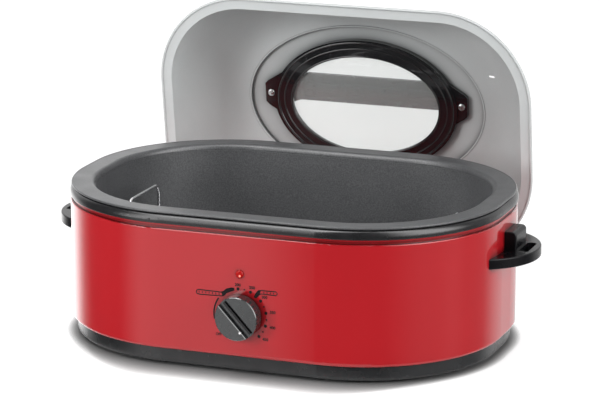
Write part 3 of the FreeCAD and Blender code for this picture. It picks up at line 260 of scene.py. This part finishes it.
class Look(Tree):
    """A Principled material and the nodes that vary it."""

    NOISE_LOW, NOISE_HIGH = 0.3, 0.7
    THREAD_DISTORTION = 1.5

    def __init__(self, name, colour, roughness, metallic=0.0, specular=0.5):
        self.material = bpy.data.materials.new(name)
        self.material.use_nodes = True
        super().__init__(self.material.node_tree)
        self.shader = self.tree.nodes["Principled BSDF"]
        self.colour = colour
        self.shader.inputs["Base Color"].default_value = (*colour, 1)
        self.shader.inputs["Roughness"].default_value = roughness
        self.shader.inputs["Metallic"].default_value = metallic
        self.shader.inputs["Specular IOR Level"].default_value = specular
        self.coords = self.add("TexCoord")
        self.normal = None

    def noise(self, scale, detail=3.0, stretch=(1, 1, 1)):
        mapping = self.add("Mapping")
        mapping.inputs["Scale"].default_value = stretch
        self.feed(mapping.inputs["Vector"], self.coords.outputs["Object"])
        texture = self.add("TexNoise")
        texture.inputs["Scale"].default_value = scale
        texture.inputs["Detail"].default_value = detail
        self.feed(texture.inputs["Vector"], mapping.outputs[0])
        return texture.outputs["Fac"]

    def mottle(self, scale, amount, stretch=(1, 1, 1), detail=3.0):
        """Vary the base colour about its own value."""
        texture = self.noise(scale, detail, stretch)
        level = self.spread(texture, self.NOISE_LOW, self.NOISE_HIGH, 1 - amount, 1 + amount)
        node = self.add("VectorMath", operation="SCALE")
        node.inputs[0].default_value = self.colour
        self.feed(node.inputs["Scale"], level)
        self.feed(self.shader.inputs["Base Color"], node.outputs["Vector"])
        return self

    def paint_shade(self, reach, power):
        """Paint shade into the base colour in grooves and close beside other pieces, where nearby surfaces
        keep light off.
        """
        nearby = self.add("AmbientOcclusion")
        nearby.inputs["Distance"].default_value = reach
        level = self.math("POWER", nearby.outputs["AO"], power)
        node = self.add("VectorMath", operation="SCALE")
        base = self.shader.inputs["Base Color"]
        self.feed(node.inputs[0], base.links[0].from_socket)
        self.feed(node.inputs["Scale"], level)
        self.feed(base, node.outputs["Vector"])
        return self

    def sheen_spread(self, scale, low, high, detail=4.0):
        """Vary the roughness between two values."""
        level = self.spread(self.noise(scale, detail), self.NOISE_LOW, self.NOISE_HIGH, low, high)
        self.feed(self.shader.inputs["Roughness"], level)
        return self

    def bump(self, scale, height, stretch=(1, 1, 1), detail=2.0):
        """Add fine relief, its height in metres."""
        return self.relief(self.noise(scale, detail, stretch), height)

    def relief(self, level, height):
        """Add relief on top of what is there, its height in metres."""
        node = self.add("Bump")
        node.inputs["Strength"].default_value = 1.0
        node.inputs["Distance"].default_value = height
        self.feed(node.inputs["Height"], level)
        if self.normal is not None:
            self.feed(node.inputs["Normal"], self.normal)
        self.normal = node.outputs[0]
        self.feed(self.shader.inputs["Normal"], self.normal)
        return self

    def coat(self, weight, roughness):
        self.shader.inputs["Coat Weight"].default_value = weight
        self.shader.inputs["Coat Roughness"].default_value = roughness
        return self

    def weave(self, pitch, height):
        """Relief of crossed threads, sizes in metres."""
        waves = []
        for axis in ("X", "Z"):
            wave = self.add("TexWave", bands_direction=axis)
            wave.inputs["Scale"].default_value = 1 / pitch
            wave.inputs["Distortion"].default_value = self.THREAD_DISTORTION
            self.feed(wave.inputs["Vector"], self.coords.outputs["Object"])
            waves.append(wave.outputs["Fac"])
        return self.relief(self.math("MAXIMUM", *waves), height)

    def glow(self, place, reach, colour, strength):
        """Light given off, strongest at a place in the part's frame and gone at its reach, in mm; on the
        lens its small spot is partly a painted highlight.
        """
        away = self.add("VectorMath", operation="DISTANCE")
        self.feed(away.inputs[0], self.add("NewGeometry").outputs["Position"])
        away.inputs[1].default_value = [MM * part for part in place]
        level = self.spread(away.outputs["Value"], 0.0, reach * MM, strength, 0.0, smooth=True)
        self.shader.inputs["Emission Color"].default_value = (*colour, 1)
        self.feed(self.shader.inputs["Emission Strength"], level)
        return self


def make_looks():
    return {**casing_looks(), **metal_looks(), **inner_looks(), **lid_looks(), **print_looks()}


def casing_looks():
    red = Look("shell_red", (0.40, 0.009, 0.014), 0.35, specular=0.1)
    ring = Look("ring_black", (0.014, 0.014, 0.015), 0.2)
    base = Look("base_black", (0.018, 0.019, 0.02), 0.25)
    rubber = Look("foot_rubber", (0.02, 0.02, 0.02), 0.75, specular=0.3)
    lens = Look("lens_red", (0.36, 0.003, 0.003), 0.14, specular=0.15)
    knob = Look("knob_black", (0.028, 0.030, 0.031), 0.16)
    pointer = Look("pointer_black", (0.012, 0.012, 0.013), 0.2)
    handle = Look("handle_black", (0.005, 0.005, 0.006), 0.2, specular=0.17)
    gland = Look("gland_plastic", (0.015, 0.015, 0.015), 0.5)
    rest = Look("rest_black", (0.02, 0.02, 0.021), 0.45)
    # The lit lamp's red glow is gathered into a small bright spot at the lens's lower right, which stands
    # in for a highlight: lamp light and painted highlight together.
    glow_highlight, lamp_colour = (LENS_X + 0.9, FRONT_Y - 2.6, LENS_Z - 1.5), (1.0, 0.3, 0.22)
    looks = {
        # shell_red carries painted shade: its red is darkened in the groove under the ring and round the
        # knob and the handles.
        "shell_red": red.mottle(9, 0.02).paint_shade(0.009, 1.6).bump(900, 3 * MICRON).coat(1.0, 0.035),
        "ring_black": ring.mottle(60, 0.15).sheen_spread(40, 0.14, 0.24).bump(1500, 4 * MICRON),
        "base_black": base.mottle(80, 0.12).sheen_spread(50, 0.2, 0.3).bump(2200, 6 * MICRON),
        "foot_rubber": rubber.mottle(200, 0.2).bump(1200, 30 * MICRON),
        "lens_red": lens.mottle(900, 0.2).coat(0.1, 0.05).glow(glow_highlight, 1.7, lamp_colour, 2.6),
        "knob_black": knob.mottle(120, 0.1).sheen_spread(90, 0.13, 0.2).bump(1800, 8 * MICRON)
        .coat(1.0, 0.06),
        "pointer_black": pointer.mottle(200, 0.15).bump(1200, 4 * MICRON),
        "handle_black": handle.mottle(90, 0.15).sheen_spread(60, 0.18, 0.28).bump(2000, 12 * MICRON),
        "gland_plastic": gland.mottle(150, 0.2).bump(1600, 20 * MICRON),
        "rest_black": rest.mottle(90, 0.15).bump(1000, 20 * MICRON),
    }
    return materials_of(looks)


def metal_looks():
    liner = Look("liner_steel", (0.42, 0.42, 0.43), 0.35, metallic=1.0)
    shield = Look("shield_aluminium", (0.72, 0.73, 0.74), 0.3, metallic=1.0)
    plain = Look("plain_steel", (0.55, 0.55, 0.54), 0.28, metallic=1.0)
    screw = Look("screw_steel", (0.62, 0.62, 0.62), 0.28, metallic=1.0)
    brass = Look("terminal_brass", (0.7, 0.52, 0.22), 0.3, metallic=1.0)
    rack = Look("rack_chrome", (0.78, 0.78, 0.79), 0.12, metallic=1.0)
    looks = {
        "liner_steel": liner.mottle(40, 0.08, (1, 1, 12)).bump(300, 20 * MICRON, (1, 1, 20)),
        "shield_aluminium": shield.mottle(30, 0.06, (1, 20, 1)).bump(200, 20 * MICRON, (1, 30, 1)),
        "plain_steel": plain.mottle(500, 0.1).sheen_spread(300, 0.2, 0.36).bump(900, 10 * MICRON),
        "screw_steel": screw.mottle(500, 0.1).sheen_spread(300, 0.2, 0.36).bump(900, 10 * MICRON),
        "terminal_brass": brass.mottle(200, 0.1).bump(800, 10 * MICRON),
        "rack_chrome": rack.mottle(60, 0.05).sheen_spread(80, 0.08, 0.2).bump(600, 6 * MICRON),
    }
    return materials_of(looks)


def inner_looks():
    mica = Look("band_mica", (0.36, 0.32, 0.25), 0.6)
    wool = Look("glass_wool", (0.74, 0.7, 0.58), 0.9, specular=0.2)
    inner = Look("inner_plastic", (0.05, 0.04, 0.035), 0.5)
    block = Look("block_plastic", (0.62, 0.6, 0.53), 0.5)
    pan = Look("pan_enamel", (0.072, 0.073, 0.076), 0.3)
    looks = {
        "band_mica": mica.mottle(60, 0.2).weave(12 * MM, 200 * MICRON),
        "glass_wool": wool.mottle(90, 0.12).weave(20 * MM, 800 * MICRON),
        "inner_plastic": inner.mottle(150, 0.2).bump(900, 20 * MICRON),
        "block_plastic": block.mottle(120, 0.08).bump(900, 20 * MICRON),
        "pan_enamel": pan.mottle(700, 0.3, detail=1.0).sheen_spread(25, 0.28, 0.4).bump(500, 8 * MICRON),
    }
    return materials_of(looks)


def lid_looks():
    lid = Look("lid_grey", (0.565, 0.585, 0.585), 0.5, specular=0.3)
    moulding = Look("frame_black", (0.010, 0.010, 0.011), 0.16)
    gasket = Look("gasket_rubber", (0.025, 0.025, 0.025), 0.7, specular=0.3)
    glass = Look("window_glass", (0.96, 0.98, 0.97), 0.02)
    glass.shader.inputs["Transmission Weight"].default_value = 0.82
    looks = {
        # lid_grey carries painted shade: its grey is darkened in the lid's inner corners and where it
        # stands close behind the body.
        "lid_grey": lid.mottle(14, 0.03).paint_shade(0.06, 1.3).sheen_spread(20, 0.42, 0.55)
        .bump(1400, 6 * MICRON),
        "frame_black": moulding.mottle(120, 0.15).sheen_spread(70, 0.1, 0.2).bump(900, 4 * MICRON)
        .coat(1.0, 0.04),
        "gasket_rubber": gasket.mottle(200, 0.2).bump(1200, 20 * MICRON),
        "window_glass": glass.mottle(6, 0.01).bump(25, 10 * MICRON),
    }
    return materials_of(looks)


def print_looks():
    white = Look("print_white", (0.85, 0.85, 0.85), 0.5)
    ink = Look("print_black", (0.010, 0.008, 0.009), 0.5, specular=0.2)
    looks = {
        "print_white": white.mottle(800, 0.06).bump(1500, 8 * MICRON),
        "print_black": ink.mottle(800, 0.2).bump(1500, 8 * MICRON),
    }
    return materials_of(looks)


def materials_of(looks):
    return {name: look.material for name, look in looks.items()}


def dress_nodes(looks):
    slots = {part["node"]: part["material_slot"] for part in frame["record"]["subparts"]}
    for node, piece in NODES.items():
        look = looks[slots[node]]
        if not piece.data.materials:
            piece.data.materials.append(look)
        for slot in piece.material_slots:
            slot.material = look


# --- mesh helpers ---

def new_piece(name, mesh, body, look, smooth=True):
    """Put a finished mesh, in metres in the part's frame, on a body."""
    piece = bpy.data.objects.new(name, mesh)
    bpy.context.scene.collection.objects.link(piece)
    mesh.materials.clear()
    mesh.materials.append(look)
    for face in mesh.polygons:
        face.use_smooth = smooth
    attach(piece, body)
    return piece


def rounded_points(length, depth, radius, corner_steps=24, side_steps=6):
    """Points round a rounded rectangle, anticlockwise, in mm."""
    half_x, half_y = length / 2 - radius, depth / 2 - radius
    corners = ((half_x, half_y), (-half_x, half_y), (-half_x, -half_y), (half_x, -half_y))
    centres = [Vector((*corner, 0)) for corner in corners]
    points = []
    for quarter, centre in enumerate(centres):
        for step in range(corner_steps + 1):
            angle = (quarter + step / corner_steps) * math.pi / 2
            points.append(centre + Vector((radius * math.cos(angle), radius * math.sin(angle), 0)))
        start = points[-1]
        end = centres[(quarter + 1) % 4] + (start - centre)
        for step in range(1, side_steps):
            points.append(start.lerp(end, step / side_steps))
    return points


def oval_points(half_x, half_y, steps=160):
    """Points round an ellipse, anticlockwise, in mm."""
    turns = [2 * math.pi * step / steps for step in range(steps)]
    return [Vector((half_x * math.cos(turn), half_y * math.sin(turn), 0)) for turn in turns]


def swept_ring(points, profile):
    """Mesh of a closed profile carried round a closed plan path; profile pairs are (outwards, up) in mm."""
    mesh = bmesh.new()
    rings = []
    count = len(points)
    for index, point in enumerate(points):
        along = (points[(index + 1) % count] - points[index - 1]).normalized()
        outwards = Vector((along.y, -along.x, 0))
        rings.append([mesh.verts.new(point + outwards * out + Vector((0, 0, up))) for out, up in profile])
    for index in range(count):
        first, second = rings[index], rings[(index + 1) % count]
        for step in range(len(profile)):
            after = (step + 1) % len(profile)
            mesh.faces.new((first[step], second[step], second[after], first[after]))
    return mesh


def circle_profile(radius, steps=12, centre=(0, 0)):
    turns = [2 * math.pi * step / steps for step in range(steps)]
    return [(centre[0] + radius * math.cos(turn), centre[1] + radius * math.sin(turn)) for turn in turns]


def finish_mesh(name, mesh, place):
    """Turn a bmesh in mm into mesh data in metres, carried to its place."""
    bmesh.ops.recalc_face_normals(mesh, faces=mesh.faces)
    mesh.transform(Matrix.Scale(MM, 4) @ place)
    data = bpy.data.meshes.new(name)
    mesh.to_mesh(data)
    mesh.free()
    return data


def append_mesh(mesh, part):
    """Join one mesh to another and free it."""
    data = bpy.data.meshes.new("part")
    part.to_mesh(data)
    part.free()
    mesh.from_mesh(data)
    bpy.data.meshes.remove(data)


def lathe(profile, steps=48):
    """Closed solid turned about +Z from (radius, height) pairs that start and end on the axis."""
    mesh = bmesh.new()
    turns = [2 * math.pi * step / steps for step in range(steps)]
    rings = []
    for radius, height in profile:
        around = turns if radius > 0 else turns[:1]
        rings.append([mesh.verts.new((radius * math.cos(turn), radius * math.sin(turn), height))
                      for turn in around])
    for lower, upper in zip(rings, rings[1:]):
        for step in range(steps):
            after = (step + 1) % steps
            corners = [lower[step % len(lower)], lower[after % len(lower)],
                       upper[after % len(upper)], upper[step % len(upper)]]
            mesh.faces.new(list(dict.fromkeys(corners)))
    return mesh


# --- trim of the lid and the pan ---

def lid_place():
    """From the lid's own frame to its parked place in the part's frame, both in mm."""
    lean = math.radians(PARKED_LEAN)
    middle_y = BODY_SHIFT + PARKED_Y - LID_DEPTH / 2 * math.sin(lean)
    middle_z = PARKED_Z + LID_DEPTH / 2 * math.cos(lean)
    turn = Matrix.Rotation(lean - math.pi / 2, 4, "X")
    return Matrix.Translation((PARKED_X, middle_y, middle_z)) @ turn


def add_trim(name, mesh, place, body, slot, looks):
    """Put a mesh made in mm on a body, in the look of its slot."""
    return new_piece(name, finish_mesh(name, mesh, place), body, looks[slot])


def make_lid_hem(looks):
    """Rolled hem round the edge of the lid's flange."""
    inset, radius, height = 1.6, 1.6, 0.6
    path = rounded_points(LID_LENGTH - 2 * inset, LID_DEPTH - 2 * inset, LID_CORNER - inset)
    hem = swept_ring(path, circle_profile(radius, centre=(0, height)))
    add_trim("lid_hem", hem, lid_place(), "lid", "lid_grey", looks)


def make_panel_crease(looks):
    """Pressed crease inside the lid, round the raised oval panel."""
    radius, sunk = 1.3, 0.5
    path = oval_points(PANEL_HALF_X, PANEL_HALF_Y)
    fold = swept_ring(path, circle_profile(radius, centre=(0, LID_INSIDE + sunk)))
    add_trim("lid_panel_crease", fold, lid_place(), "lid", "lid_grey", looks)


def make_frame_beads(looks):
    """Raised beads round the moulded window frame, at its mouth, its middle and its outer edge."""
    sunk = 0.2
    beads = bmesh.new()
    for outwards, radius in ((-0.6, 1.2), (9.0, 1.0), (17.0, 1.4)):
        path = oval_points(WINDOW_HALF_X + outwards, WINDOW_HALF_Y + outwards)
        bead = swept_ring(path, circle_profile(radius, centre=(0, FRAME_LOW + sunk)))
        append_mesh(beads, bead)
    add_trim("window_frame_beads", beads, lid_place(), "lid", "frame_black", looks)


def make_handle_ribs(looks):
    """Lengthwise stiffening ribs in the hollow underside of the lid's handle."""
    sections = ((-90.0, -45.0), (-35.0, 35.0), (45.0, 90.0))
    off_middle, thickness, depth, height, edge = 5.0, 1.8, 5.0, 2.6, 0.3
    ribs = bmesh.new()
    for start, end in sections:
        for across in (-off_middle, off_middle):
            middle = ((start + end) / 2, LID_SCREW_Y + across, HANDLE_LOW + height)
            size = Matrix.Diagonal((end - start, thickness, depth, 1))
            rib = bmesh.ops.create_cube(ribs, size=1.0, matrix=Matrix.Translation(middle) @ size)
            edges = list({line for vert in rib["verts"] for line in vert.link_edges})
            bmesh.ops.bevel(ribs, geom=edges, offset=edge, segments=2, affect="EDGES")
    add_trim("lid_handle_ribs", ribs, lid_place(), "lid", "handle_black", looks)


def make_pan_edge(looks):
    """Rolled edge round the pan's flange."""
    inset, radius, sunk = 3.6, 1.3, 1.0
    path = rounded_points(RIM_LENGTH - 2 * inset, RIM_DEPTH - 2 * inset, RIM_CORNER - inset)
    edge = swept_ring(path, circle_profile(radius, centre=(0, RIM_TOP - sunk)))
    place = Matrix.Translation((0, BODY_SHIFT, 0))
    add_trim("pan_rolled_edge", edge, place, "pan", "pan_enamel", looks)


# --- screws ---

HEAD_RADIUS, HEAD_HEIGHT, SHANK_RADIUS = 4.5, 2.0, 2.0
# Outline of a screw head's dome, as shares of its radius and of its height
DOME = ((1.0, 0.15), (0.98, 0.4), (0.86, 0.72), (0.62, 0.92), (0.3, 1.0), (0.0, 1.02))
# Ways that a screw's head faces
DOWN = Matrix.Rotation(math.pi, 4, "X")
TO_REAR = Matrix.Rotation(-math.pi / 2, 4, "X")


def screw_mesh(length):
    """Screw that points along +Z, its head's underside at the origin, with a cross recess."""
    return cut(screw_body(length), cross_recess())


def screw_body(length):
    """Domed head and threaded shank."""
    pitch, root_share, thread_end, seat_share = 0.7, 0.86, -0.6, 0.97
    thread = []
    height = -length
    while height < thread_end:
        thread += [(SHANK_RADIUS, height), (SHANK_RADIUS * root_share, height + pitch / 2)]
        height += pitch
    seat = [(SHANK_RADIUS, 0), (HEAD_RADIUS * seat_share, 0)]
    dome = [(HEAD_RADIUS * across, HEAD_HEIGHT * up) for across, up in DOME]
    return lathe([(0, -length)] + thread + seat + dome)


def cross_recess():
    """Two tapering blades that cross, sized as shares of the screw's head."""
    foot = Vector((0.7, 0.16, 0.25))
    mouth = Vector((1.2, 0.26, 1.4))
    recess = bmesh.new()
    for turn in (0, 90):
        blade = bmesh.ops.create_cube(recess, size=1.0)["verts"]
        for vert in blade:
            share = foot if vert.co.z < 0 else mouth
            vert.co = Vector((vert.co.x * share.x * HEAD_RADIUS, vert.co.y * share.y * HEAD_RADIUS,
                              share.z * HEAD_HEIGHT))
        bmesh.ops.rotate(recess, verts=blade, matrix=Matrix.Rotation(math.radians(turn), 3, "Z"))
    return recess


def cut(body, tool):
    """Mesh data of a body less a tool."""
    pieces = []
    for mesh in (body, tool):
        data = bpy.data.meshes.new("cut")
        mesh.to_mesh(data)
        mesh.free()
        pieces.append(bpy.data.objects.new("cut", data))
        bpy.context.scene.collection.objects.link(pieces[-1])
    modifier = pieces[0].modifiers.new("cut", "BOOLEAN")
    modifier.object = pieces[1]
    modifier.operation = "DIFFERENCE"
    modifier.use_self = True
    graph = bpy.context.evaluated_depsgraph_get()
    result = bpy.data.meshes.new_from_object(pieces[0].evaluated_get(graph))
    for piece in pieces:
        bpy.data.objects.remove(piece)
    return result


def add_nut(data, corner_radius, low, high):
    """Add a hexagonal nut with bevelled corners to a screw that points along +Z."""
    sides, bevel = 6, 0.4
    levels = ((low, corner_radius - bevel), (low + bevel, corner_radius),
              (high - bevel, corner_radius), (high, corner_radius - bevel))
    turns = [2 * math.pi * side / sides for side in range(sides)]
    mesh = bmesh.new()
    mesh.from_mesh(data)
    rings = []
    for height, radius in levels:
        rings.append([mesh.verts.new((radius * math.cos(turn), radius * math.sin(turn), height))
                      for turn in turns])
    for lower, upper in zip(rings, rings[1:]):
        for side in range(sides):
            after = (side + 1) % sides
            mesh.faces.new((lower[side], lower[after], upper[after], upper[side]))
    mesh.faces.new(list(reversed(rings[0])))
    mesh.faces.new(rings[-1])
    mesh.to_mesh(data)
    mesh.free()


def screw_seat(x, y, z, facing, turn):
    """Place of a screw's head, in mm, the way it faces, and how far it is turned, in radians."""
    return Matrix.Translation((x, y, z)) @ facing @ Matrix.Rotation(turn, 4, "Z")


def place_screws(name, master, seats, body, node, looks):
    """Copies of one screw at their seats, joined into a piece that replaces a node."""
    sharp_angle = math.radians(35)
    joined = bmesh.new()
    for seat in seats:
        part = master.copy()
        part.transform(seat)
        joined.from_mesh(part)
        bpy.data.meshes.remove(part)
    piece = add_trim(name, joined, Matrix.Identity(4), body, "screw_steel", looks)
    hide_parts(node)
    piece.data.set_sharp_from_angle(angle=sharp_angle)


def make_lid_screws(looks):
    """Two screws up through the window frame's ears and the lid into the handle's feet."""
    length, ear_thickness = 17.0, 6.0
    seats = [lid_place() @ screw_seat(x, LID_SCREW_Y, UNDER_PANEL - ear_thickness, DOWN, turn)
             for x, turn in ((-LID_SCREW_X, 0.3), (LID_SCREW_X, 0.9))]
    place_screws("lid_screw_heads", screw_mesh(length), seats, "lid", "lid_screws", looks)


def make_base_screws(looks):
    """Four screws up through the base into the posts, each turned its own way."""
    length = 10.0
    shift = Matrix.Translation((0, BODY_SHIFT, 0))
    seats = [shift @ screw_seat(x, y, BASE_SCREW_Z, DOWN, x + y)
             for x in (-BASE_SCREW_X, BASE_SCREW_X) for y in (-BASE_SCREW_Y, BASE_SCREW_Y)]
    place_screws("base_screw_heads", screw_mesh(length), seats, "housing", "base_screws", looks)


def make_rest_screws(looks):
    """Four screws with nuts that hold the lid's rests, each turned its own way."""
    length, nut_radius, nut_low, nut_high = 8.0, 4.0, -7.0, -4.0
    shift = Matrix.Translation((0, BODY_SHIFT, 0))
    seats = [shift @ screw_seat(x, REST_SCREW_Y, z, TO_REAR, x + z)
             for x in (-REST_SCREW_X, REST_SCREW_X) for z in REST_SCREW_HEIGHTS]
    screw = screw_mesh(length)
    add_nut(screw, nut_radius, nut_low, nut_high)
    place_screws("rest_screw_heads", screw, seats, "housing", "rest_screws", looks)


# --- print on the dial and the knob ---

def flat_strip(mesh, points, width, closed=False):
    """Flat band of ink along points (x, z) in the dial's plane."""
    count = len(points)
    sides = []
    for index, (x, z) in enumerate(points):
        before = points[index - 1] if index or closed else points[0]
        after = points[(index + 1) % count] if index < count - 1 or closed else points[-1]
        along = Vector((after[0] - before[0], after[1] - before[1])).normalized()
        across = Vector((-along.y, along.x)) * width / 2
        sides.append([mesh.verts.new((x + side * across.x, 0, z + side * across.y)) for side in (1, -1)])
    for index in range(count if closed else count - 1):
        first, second = sides[index], sides[(index + 1) % count]
        mesh.faces.new((first[0], second[0], second[1], first[1]))


def flat_dot(mesh, x, z, radius, steps=20):
    turns = [2 * math.pi * step / steps for step in range(steps)]
    mesh.faces.new([mesh.verts.new((x + radius * math.cos(turn), 0, z + radius * math.sin(turn)))
                    for turn in turns])


def dial_point(radius, degrees):
    """Point on the dial, its angle clockwise from the top."""
    angle = math.radians(degrees)
    return radius * math.sin(angle), radius * math.cos(angle)


def thicken(mesh, depth):
    """Give flat ink its small thickness towards the front."""
    faces = list(mesh.faces)
    raised = bmesh.ops.extrude_face_region(mesh, geom=faces)
    verts = [item for item in raised["geom"] if isinstance(item, bmesh.types.BMVert)]
    bmesh.ops.translate(mesh, verts=verts, vec=(0, -depth, 0))


def flat_patch(mesh, points):
    mesh.faces.new([mesh.verts.new((x, 0, z)) for x, z in points])


def add_figures(mesh, text, x, z, size):
    """Generic figures, made a little bolder than the plain typeface."""
    bolder = 0.025
    curve = bpy.data.curves.new("figures", "FONT")
    curve.body = text
    curve.size = size
    curve.offset = bolder * size
    curve.align_x = "CENTER"
    curve.align_y = "CENTER"
    holder = bpy.data.objects.new("figures", curve)
    bpy.context.scene.collection.objects.link(holder)
    graph = bpy.context.evaluated_depsgraph_get()
    flat = bpy.data.meshes.new_from_object(holder.evaluated_get(graph))
    flat.transform(Matrix.Translation((x, 0, z)) @ Matrix.Rotation(math.pi / 2, 4, "X"))
    mesh.from_mesh(flat)
    bpy.data.objects.remove(holder)
    bpy.data.meshes.remove(flat)


# Outlines of the two flags beside the knob and of their inked slanting ends, as (x, z) in mm from its axis
LEFT_FLAG = ((-52.7, 22.7), (-52.3, 24.7), (-50.3, 25.6), (-22.9, 25.2), (-19.8, 26.4), (-16.7, 29.4),
             (-10.4, 31.3), (-7.7, 31.0), (-7.3, 29.2), (-16.7, 25.2), (-19.8, 21.5), (-23.0, 20.8),
             (-48.8, 20.1), (-52.3, 20.9))
LEFT_SLANT = ((-22.9, 25.2), (-19.8, 26.4), (-16.7, 29.4), (-10.4, 31.3), (-7.7, 31.0), (-7.3, 29.2),
              (-16.7, 25.2), (-19.8, 21.5), (-21.4, 21.2))
RIGHT_FLAG = ((16.3, 22.9), (18.3, 27.2), (21.4, 31.3), (25.2, 31.7), (42.2, 31.9), (44.1, 29.8),
              (42.2, 27.4), (24.5, 27.9), (21.4, 25.7), (19.0, 22.8))
RIGHT_SLANT = ((16.3, 22.9), (18.3, 27.2), (21.4, 31.3), (24.5, 31.6), (22.8, 26.8), (21.4, 25.7),
               (19.0, 22.8))


def add_scale(ink):
    """Large dots with plain figures beside them, and small dots between; angles clockwise from the top."""
    scale_radius, first, step_angle = 31.0, -5.2, 28.0
    dot_radius, small_radius, figure_size = 1.8, 0.95, 4.6
    figures = (("200", 35.5, -5.0), ("250", 36.5, 22.5), ("300", 37.5, 50.0), ("350", 39.0, 79.0),
               ("400", 39.5, 105.0), ("450", 38.5, 130.0))
    for index, (text, radius, degrees) in enumerate(figures):
        flat_dot(ink, *dial_point(scale_radius, first + index * step_angle), dot_radius)
        add_figures(ink, text, *dial_point(radius, degrees), figure_size)
    for step in (0, 2, 3, 4):
        degrees = first + (step + 0.5) * step_angle
        flat_dot(ink, *dial_point(scale_radius, degrees), small_radius)


def add_arc(ink):
    """Arc at the knob's left, where the heat is low."""
    radius, start, sweep, width, steps = 31.8, -55, -47, 1.6, 24
    arc = [dial_point(radius, start + sweep * step / steps) for step in range(steps + 1)]
    flat_strip(ink, arc, width)


def add_flags(ink):
    """The two flags, with a row of plain ticks in each in place of lettering."""
    line_width, tick_width = 1.1, 0.9
    flat_strip(ink, LEFT_FLAG, line_width, closed=True)
    flat_strip(ink, RIGHT_FLAG, line_width, closed=True)
    flat_patch(ink, LEFT_SLANT)
    flat_patch(ink, RIGHT_SLANT)
    for count, first, pitch, low, high in ((7, -49.5, 4.0, 21.9, 24.1), (4, 28.0, 3.8, 28.8, 30.6)):
        for index in range(count):
            x = first + pitch * index
            flat_strip(ink, [(x, low), (x, high)], tick_width)


def make_dial_print(looks):
    """Heat scale round the knob: dots with plain figures, an arc, two flags and OFF."""
    off_x, off_z, off_size = -26.0, -24.0, 4.2
    ink = bmesh.new()
    add_scale(ink)
    add_arc(ink)
    add_flags(ink)
    add_figures(ink, "OFF", off_x, off_z, off_size)
    thicken(ink, PRINT_PROUD)
    data = finish_mesh("dial_print", ink, Matrix.Translation((DIAL_X, FRONT_Y, DIAL_Z)))
    new_piece("dial_print", data, "housing", looks["print_black"], smooth=False)


def make_knob_mark(looks):
    """White spot on the knob's face."""
    x, z, radius = 5.3, -15.2, 1.3
    spot = bmesh.new()
    flat_dot(spot, x, z, radius)
    thicken(spot, MARK_PROUD)
    data = finish_mesh("knob_mark", spot, Matrix.Translation((DIAL_X, KNOB_FACE_Y, DIAL_Z)))
    new_piece("knob_mark", data, "knob", looks["print_white"], smooth=False)


# --- build the scene ---

make_camera()
make_world()
make_floor()
make_lights()
LOOKS = make_looks()
dress_nodes(LOOKS)
make_lid_hem(LOOKS)
make_panel_crease(LOOKS)
make_frame_beads(LOOKS)
make_handle_ribs(LOOKS)
make_pan_edge(LOOKS)
make_lid_screws(LOOKS)
make_base_screws(LOOKS)
make_rest_screws(LOOKS)
make_dial_print(LOOKS)
make_knob_mark(LOOKS)

scene = bpy.context.scene
scene.view_settings.view_transform = "Standard"
